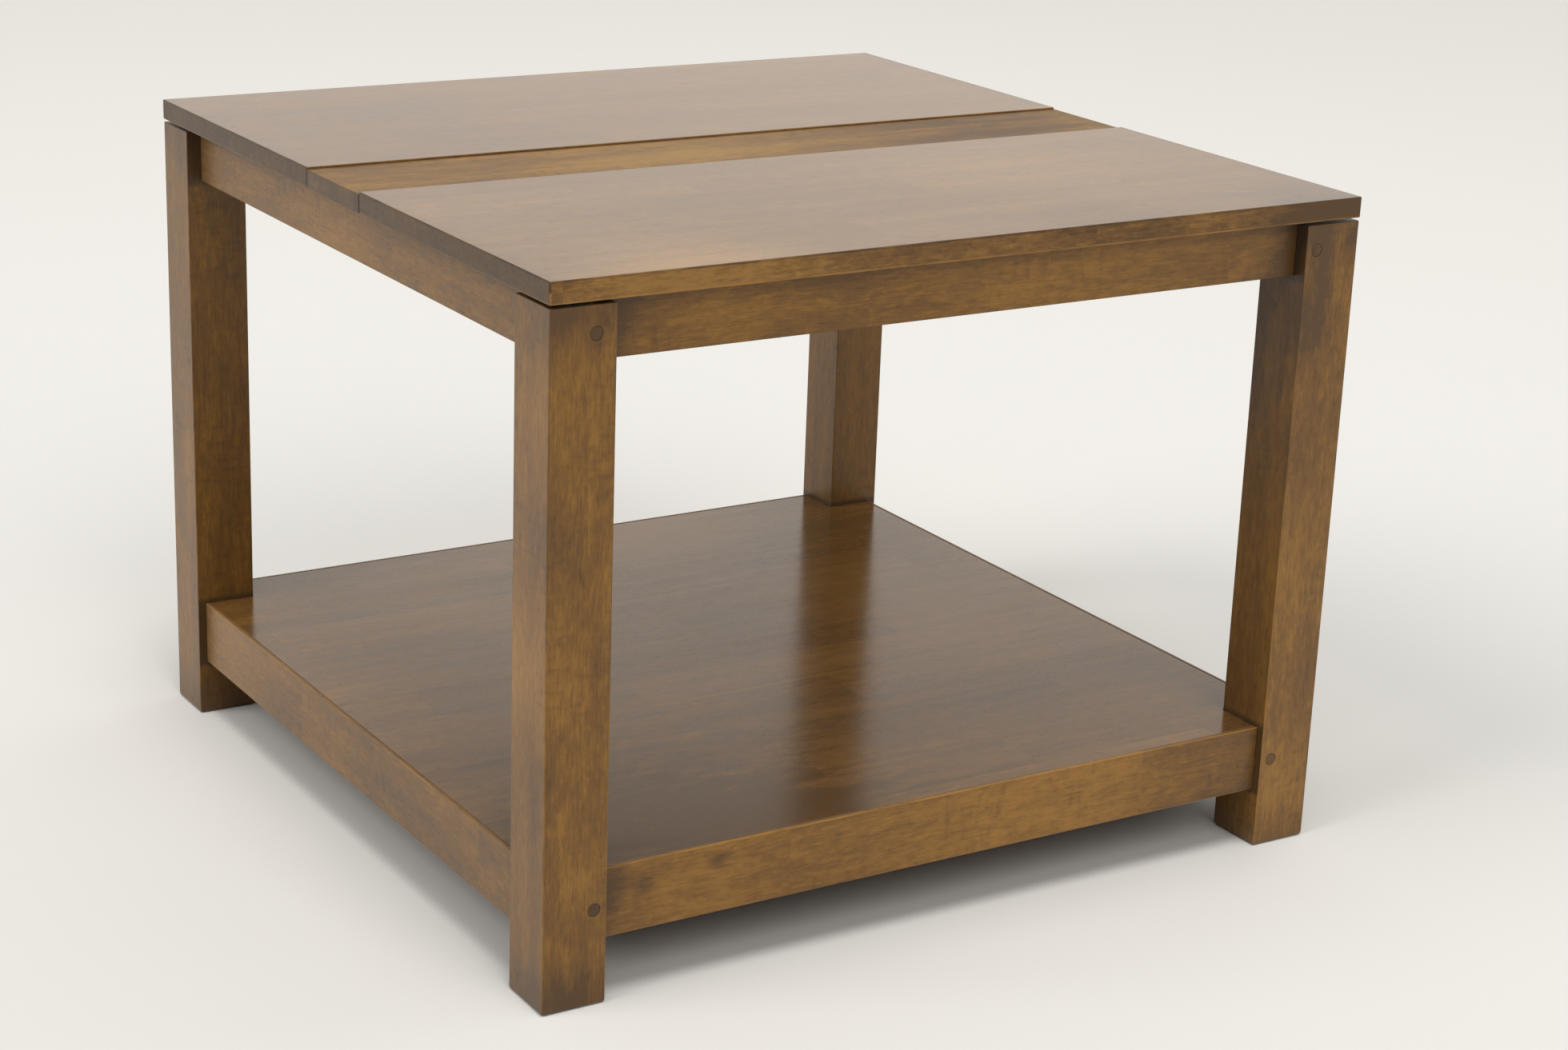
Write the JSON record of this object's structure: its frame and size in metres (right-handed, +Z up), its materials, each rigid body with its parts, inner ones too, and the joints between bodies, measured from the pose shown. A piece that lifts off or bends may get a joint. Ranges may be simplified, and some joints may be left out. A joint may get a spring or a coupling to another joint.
{
  "type": "coffee table",
  "caption": "Square dark-stained wooden coffee table with a low shelf, pegged corner joints and a recessed strip across the top",
  "frame": {"origin": "the middle of the table's footprint, on the floor", "axes": "+X along the front, to the right when the table is seen from the front; +Y to the back; +Z up"},
  "size_m": [0.69, 0.69, 0.525],
  "materials": {
    "frame_wood": "golden brown stain under satin lacquer",
    "panel_wood": "brown stain under semi-gloss lacquer",
    "strip_wood": "golden brown stain under satin lacquer",
    "peg_wood": "dark stained end grain, satin",
    "bare_wood": "bare planed hardwood",
    "screw_steel": "zinc plated"
  },
  "bodies": {
    "root": {"leg_front_left": "frame_wood", "leg_front_right": "frame_wood", "leg_back_right": "frame_wood", "leg_back_left": "frame_wood", "apron_front": "frame_wood", "apron_right": "frame_wood", "apron_back": "frame_wood", "apron_left": "frame_wood", "rail_front": "frame_wood", "rail_right": "frame_wood", "rail_back": "frame_wood", "rail_left": "frame_wood", "top_panel_front": "panel_wood", "top_panel_back": "panel_wood", "centre_strip": "strip_wood", "shelf_panel": "panel_wood", "centre_bearer": "bare_wood", "peg_upper_front_left": "peg_wood", "peg_upper_front_right": "peg_wood", "peg_upper_back_right": "peg_wood", "peg_upper_back_left": "peg_wood", "peg_lower_front_left": "peg_wood", "peg_lower_front_right": "peg_wood", "peg_lower_back_right": "peg_wood", "peg_lower_back_left": "peg_wood", "button_front_1": "bare_wood", "button_front_2": "bare_wood", "button_right_1": "bare_wood", "button_right_2": "bare_wood", "button_back_1": "bare_wood", "button_back_2": "bare_wood", "button_left_1": "bare_wood", "button_left_2": "bare_wood", "screw_front_1": "screw_steel", "screw_front_2": "screw_steel", "screw_right_1": "screw_steel", "screw_right_2": "screw_steel", "screw_back_1": "screw_steel", "screw_back_2": "screw_steel", "screw_left_1": "screw_steel", "screw_left_2": "screw_steel", "bearer_screw_front": "screw_steel", "bearer_screw_middle": "screw_steel", "bearer_screw_back": "screw_steel"}
  },
  "joints": []
}
